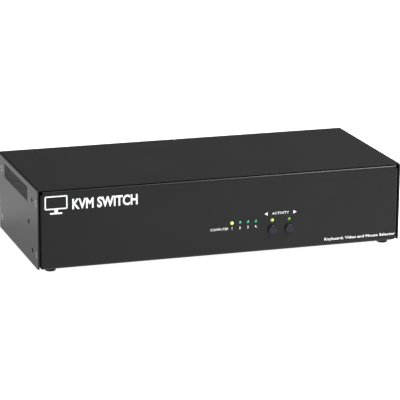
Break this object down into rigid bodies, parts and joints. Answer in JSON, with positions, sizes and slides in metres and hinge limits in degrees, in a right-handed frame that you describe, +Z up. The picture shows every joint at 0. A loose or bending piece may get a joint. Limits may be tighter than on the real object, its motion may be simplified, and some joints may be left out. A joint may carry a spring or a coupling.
{
  "type": "kvm switch",
  "caption": "Desktop switch box in bent sheet steel with two push buttons and a lamp row in front, side vents and rear sockets.",
  "frame": {"origin": "on the surface that the feet stand on, under the middle of the case", "axes": "+Z up, +X to the right seen from the front, front panel faces -Y"},
  "size_m": [0.3212, 0.142, 0.0714],
  "materials": {
    "powder_coat": "fine matt textured powder coat",
    "screw_zinc": "bright zinc plated",
    "foot_rubber": "matt",
    "button_plastic": "satin",
    "black_plastic": "satin",
    "led_lit": "glowing lens",
    "led_green": "clear tinted lens",
    "circuit_board": "solder mask",
    "nickel": "nickel plated",
    "heatsink_black": "black anodised",
    "ribbon_grey": "satin"
  },
  "bodies": {
    "case": {"activity_led_left": "led_lit", "activity_led_right": "led_green", "base_tray": "powder_coat", "board_link": "black_plastic", "board_spacer_front_left": "nickel", "board_spacer_front_right": "nickel", "board_spacer_rear_left": "nickel", "board_spacer_rear_right": "nickel", "computer_1_audio_jack": "black_plastic", "computer_1_usb_port": "nickel", "computer_1_video_port_a": "nickel", "computer_1_video_port_b": "nickel", "computer_2_audio_jack": "black_plastic", "computer_2_usb_port": "nickel", "computer_2_video_port_a": "nickel", "computer_2_video_port_b": "nickel", "computer_3_audio_jack": "black_plastic", "computer_3_usb_port": "nickel", "computer_3_video_port_a": "nickel", "computer_3_video_port_b": "nickel", "computer_4_audio_jack": "black_plastic", "computer_4_usb_port": "nickel", "computer_4_video_port_a": "nickel", "computer_4_video_port_b": "nickel", "computer_led_1": "led_lit", "computer_led_2": "led_green", "computer_led_3": "led_green", "computer_led_4": "led_green", "console_audio_jack": "black_plastic", "console_usb_ports": "nickel", "console_video_port_a": "nickel", "console_video_port_b": "nickel", "cover_screw_left_front_lower": "screw_zinc", "cover_screw_left_front_upper": "screw_zinc", "cover_screw_left_rear_lower": "screw_zinc", "cover_screw_left_rear_upper": "screw_zinc", "cover_screw_right_front_lower": "screw_zinc", "cover_screw_right_front_upper": "screw_zinc", "cover_screw_right_rear_lower": "screw_zinc", "cover_screw_right_rear_upper": "screw_zinc", "foot_front_left": "foot_rubber", "foot_front_right": "foot_rubber", "foot_rear_left": "foot_rubber", "foot_rear_right": "foot_rubber", "front_board": "circuit_board", "left_tact_switch": "black_plastic", "main_board": "circuit_board", "main_heatsink": "heatsink_black", "power_jack": "black_plastic", "ribbon_cable": "ribbon_grey", "right_tact_switch": "black_plastic", "service_port": "black_plastic", "top_cover": "powder_coat", "video_board": "circuit_board", "video_heatsink": "heatsink_black"},
    "left_button": {"left_button_cap": "button_plastic", "left_button_plunger": "black_plastic"},
    "right_button": {"right_button_cap": "button_plastic", "right_button_plunger": "black_plastic"}
  },
  "joints": [
    {"name": "left_button_press", "type": "slide", "parent": "case", "child": "left_button", "axis": [0, 1, 0], "range_m": [0, 0.0006], "stiffness_N_per_m": 500, "springref_m": -0.001},
    {"name": "right_button_press", "type": "slide", "parent": "case", "child": "right_button", "axis": [0, 1, 0], "range_m": [0, 0.0006], "stiffness_N_per_m": 500, "springref_m": -0.001}
  ]
}
